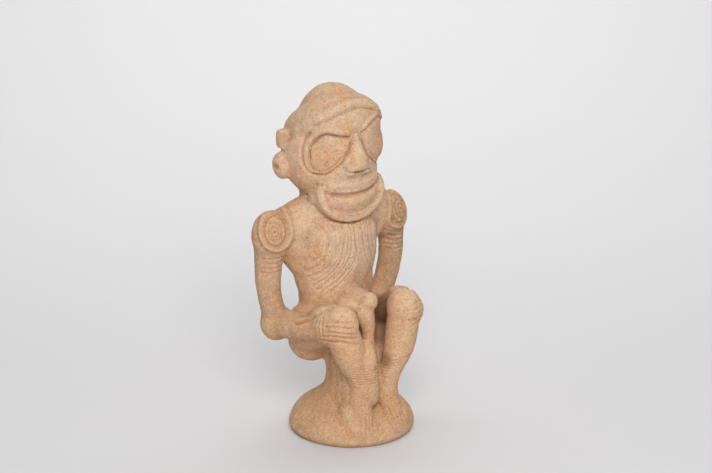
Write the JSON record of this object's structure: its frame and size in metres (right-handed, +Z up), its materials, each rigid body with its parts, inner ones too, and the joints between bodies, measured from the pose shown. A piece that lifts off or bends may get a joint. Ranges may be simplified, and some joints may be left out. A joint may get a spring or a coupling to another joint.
{
  "type": "zemi figure",
  "caption": "Carved stone figure squatting with its hands on its knees, on a flared round foot with a flat underside it stands on.",
  "frame": {"origin": "centre of the flat round underside", "axes": "+Z up from the underside to the crown, the figure looks along -Y, and its own left is +X"},
  "size_m": [0.1862, 0.152, 0.36],
  "materials": {
    "sandstone": "matt, granular, light orange-brown sandstone"
  },
  "bodies": {
    "root": {"zemi_figure": "sandstone"}
  },
  "joints": []
}
